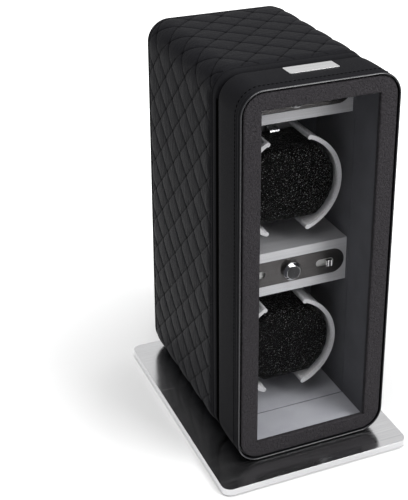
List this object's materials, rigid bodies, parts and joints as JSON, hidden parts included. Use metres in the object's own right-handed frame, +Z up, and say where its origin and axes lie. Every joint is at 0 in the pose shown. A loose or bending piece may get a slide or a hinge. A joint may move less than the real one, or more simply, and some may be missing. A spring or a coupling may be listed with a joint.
{
  "type": "watch winder box",
  "caption": "Upright watch winder box with a quilted cabinet on a metal base plate, a hinged window door, turning cradles with removable cushions, and knob and slide controls.",
  "frame": {"origin": "middle of the footprint, at the height of the surface that it stands on", "axes": "+Z up, the door faces -Y, +X to the right as seen from the front"},
  "size_m": [0.1444, 0.1944, 0.2857],
  "materials": {
    "base_plate": "brushed along the box's depth",
    "pads": "matte",
    "screws": "satin",
    "dark_screws": "black oxide",
    "board": "bare fibreboard, hidden",
    "quilted_leather": "satin, diamond quilted",
    "smooth_leather": "satin, fine grain",
    "face_leather": "satin, fine grain",
    "cushion_leather": "glossy, pebbled grain",
    "lining": "matte, suede-like",
    "back_panel": "matte black",
    "black_plastic": "matte",
    "white_plastic": "satin",
    "lead_insulation": "satin",
    "circuit_board": "green resist",
    "block_metal": "fine satin",
    "control_plate": "dark, brushed along its length",
    "chrome": "polished, spun face",
    "cradle": "satin",
    "bright_steel": "satin",
    "brass": "turned",
    "dark_hinge": "satin black",
    "nameplate": "fine brushed",
    "window_glass": "clear, polished"
  },
  "bodies": {
    "cabinet": {"base_plate": "base_plate", "base_pads": "pads", "base_screws": "screws", "cabinet_shell": "board", "quilted_cover": "quilted_leather", "front_binding": "smooth_leather", "back_panel": "back_panel", "back_screws": "dark_screws", "power_socket": "black_plastic", "side_linings": "lining", "floor_lining": "lining", "inner_back_wall": "lining", "strike_plates": "bright_steel", "wiring": "lead_insulation", "lower_control_housing": "block_metal", "upper_control_housing": "block_metal", "lower_control_plate": "control_plate", "upper_control_plate": "control_plate", "lower_slide_switches": "white_plastic", "upper_slide_switches": "white_plastic", "lower_rotary_switch": "black_plastic", "upper_rotary_switch": "black_plastic", "lower_circuit_board": "circuit_board", "upper_circuit_board": "circuit_board", "spindle_bushes": "brass", "lower_motor": "bright_steel", "upper_motor": "bright_steel", "motor_brackets": "bright_steel", "bracket_screws": "dark_screws", "cabinet_hinge_leaves": "dark_hinge", "hinge_pins": "bright_steel", "cabinet_hinge_screws": "screws"},
    "door": {"door_frame": "board", "door_cover": "smooth_leather", "door_face": "face_leather", "door_lining": "lining", "window_pane": "window_glass", "nameplate": "nameplate", "door_magnets": "bright_steel", "door_hinge_leaves": "dark_hinge", "door_hinge_screws": "screws"},
    "lower_rotor": {"lower_cradle": "cradle", "lower_cushion_clip": "bright_steel", "lower_spindle": "bright_steel", "lower_drive_gear": "white_plastic"},
    "lower_cushion_pad": {"lower_cushion": "cushion_leather"},
    "lower_motor_pinion": {"lower_pinion": "brass"},
    "lower_speed_knob": {"lower_knob": "chrome"},
    "lower_left_lever": {"lower_left_slide": "chrome"},
    "lower_right_lever": {"lower_right_slide": "chrome"},
    "upper_rotor": {"upper_cradle": "cradle", "upper_cushion_clip": "bright_steel", "upper_spindle": "bright_steel", "upper_drive_gear": "white_plastic"},
    "upper_cushion_pad": {"upper_cushion": "cushion_leather"},
    "upper_motor_pinion": {"upper_pinion": "brass"},
    "upper_speed_knob": {"upper_knob": "chrome"},
    "upper_left_lever": {"upper_left_slide": "chrome"},
    "upper_right_lever": {"upper_right_slide": "chrome"}
  },
  "joints": [
    {"name": "door_swing", "type": "hinge", "parent": "cabinet", "child": "door", "pos_m": [0.0644, -0.03875, 0.1456], "axis": [0, 0, 1], "range_deg": [0, 110]},
    {"name": "lower_rotor_spin", "type": "hinge", "parent": "cabinet", "child": "lower_rotor", "pos_m": [0.0042, 0.01565, 0.0679], "axis": [0, 1, 0], "continuous": true},
    {"name": "lower_pinion_spin", "type": "hinge", "parent": "cabinet", "child": "lower_motor_pinion", "pos_m": [0.02825, 0.02915, 0.0679], "axis": [0, 1, 0], "continuous": true},
    {"name": "lower_cushion_slide", "type": "slide", "parent": "lower_rotor", "child": "lower_cushion_pad", "axis": [0, -1, 0], "range_m": [0, 0.028]},
    {"name": "lower_knob_turn", "type": "hinge", "parent": "cabinet", "child": "lower_speed_knob", "pos_m": [0.0042, -0.03735, 0.1307], "axis": [0, 1, 0], "range_deg": [-135, 135]},
    {"name": "lower_left_lever_slide", "type": "slide", "parent": "cabinet", "child": "lower_left_lever", "axis": [1, 0, 0], "range_m": [0, 0.005]},
    {"name": "lower_right_lever_slide", "type": "slide", "parent": "cabinet", "child": "lower_right_lever", "axis": [-1, 0, 0], "range_m": [0, 0.005]},
    {"name": "upper_rotor_spin", "type": "hinge", "parent": "cabinet", "child": "upper_rotor", "pos_m": [0.0042, 0.01565, 0.1958], "axis": [0, 1, 0], "continuous": true},
    {"name": "upper_pinion_spin", "type": "hinge", "parent": "cabinet", "child": "upper_motor_pinion", "pos_m": [0.02825, 0.02915, 0.1958], "axis": [0, 1, 0], "continuous": true},
    {"name": "upper_cushion_slide", "type": "slide", "parent": "upper_rotor", "child": "upper_cushion_pad", "axis": [0, -1, 0], "range_m": [0, 0.028]},
    {"name": "upper_knob_turn", "type": "hinge", "parent": "cabinet", "child": "upper_speed_knob", "pos_m": [0.0042, -0.03735, 0.2608], "axis": [0, 1, 0], "range_deg": [-135, 135]},
    {"name": "upper_left_lever_slide", "type": "slide", "parent": "cabinet", "child": "upper_left_lever", "axis": [1, 0, 0], "range_m": [0, 0.005]},
    {"name": "upper_right_lever_slide", "type": "slide", "parent": "cabinet", "child": "upper_right_lever", "axis": [-1, 0, 0], "range_m": [0, 0.005]}
  ],
  "couplings": [
    {"joint": "lower_pinion_spin", "follows": "lower_rotor_spin", "ratio": -3},
    {"joint": "upper_pinion_spin", "follows": "upper_rotor_spin", "ratio": -3}
  ]
}
